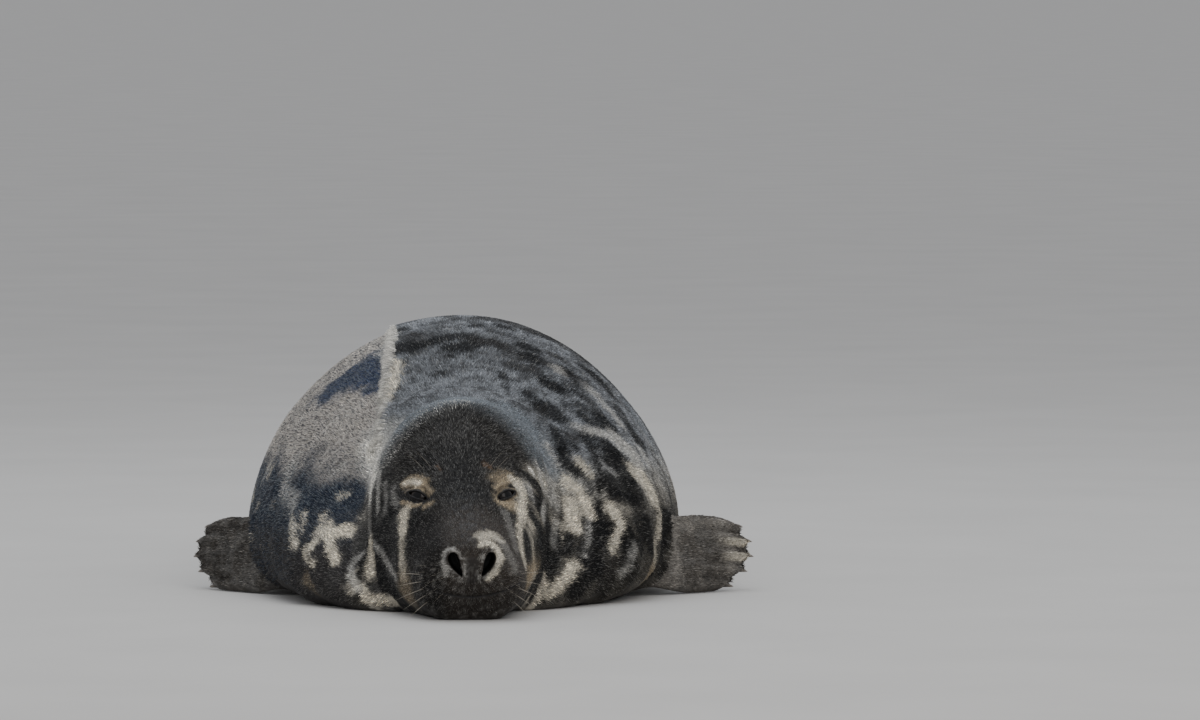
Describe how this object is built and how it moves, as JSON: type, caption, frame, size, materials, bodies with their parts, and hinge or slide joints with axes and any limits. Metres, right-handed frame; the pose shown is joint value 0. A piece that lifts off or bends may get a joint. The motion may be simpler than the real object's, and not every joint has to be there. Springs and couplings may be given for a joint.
{
  "type": "grey seal",
  "caption": "Life-size still model of an adult grey seal resting on its belly, head forward with the chin on the floor, flippers laid at the sides and behind.",
  "frame": {"origin": "on the floor, under the middle of the whole animal", "axes": "nose towards -Y, the seal's left towards +X, up +Z"},
  "size_m": [0.8228, 1.9786, 0.3964],
  "materials": {
    "face_coat": "short dense dark fur with pale patches round the eyes",
    "coat": "short flat grey fur with charcoal blotches",
    "pale_coat": "short flat pale grey and cream fur with dark spots",
    "eye": "wet dark eye",
    "claw": "dark horn"
  },
  "bodies": {
    "root": {"head": "face_coat", "neck": "coat", "chest": "pale_coat", "trunk": "pale_coat", "rump": "coat", "eye_left": "eye", "eye_right": "eye", "tail": "coat", "fore_flipper_left": "coat", "fore_flipper_right": "coat", "hind_flipper_left": "coat", "hind_flipper_right": "coat", "claw_fore_left_1": "claw", "claw_fore_left_2": "claw", "claw_fore_left_3": "claw", "claw_fore_left_4": "claw", "claw_fore_left_5": "claw", "claw_fore_right_1": "claw", "claw_fore_right_2": "claw", "claw_fore_right_3": "claw", "claw_fore_right_4": "claw", "claw_fore_right_5": "claw", "claw_hind_left_1": "claw", "claw_hind_left_2": "claw", "claw_hind_left_3": "claw", "claw_hind_left_4": "claw", "claw_hind_left_5": "claw", "claw_hind_right_1": "claw", "claw_hind_right_2": "claw", "claw_hind_right_3": "claw", "claw_hind_right_4": "claw", "claw_hind_right_5": "claw"}
  },
  "joints": []
}
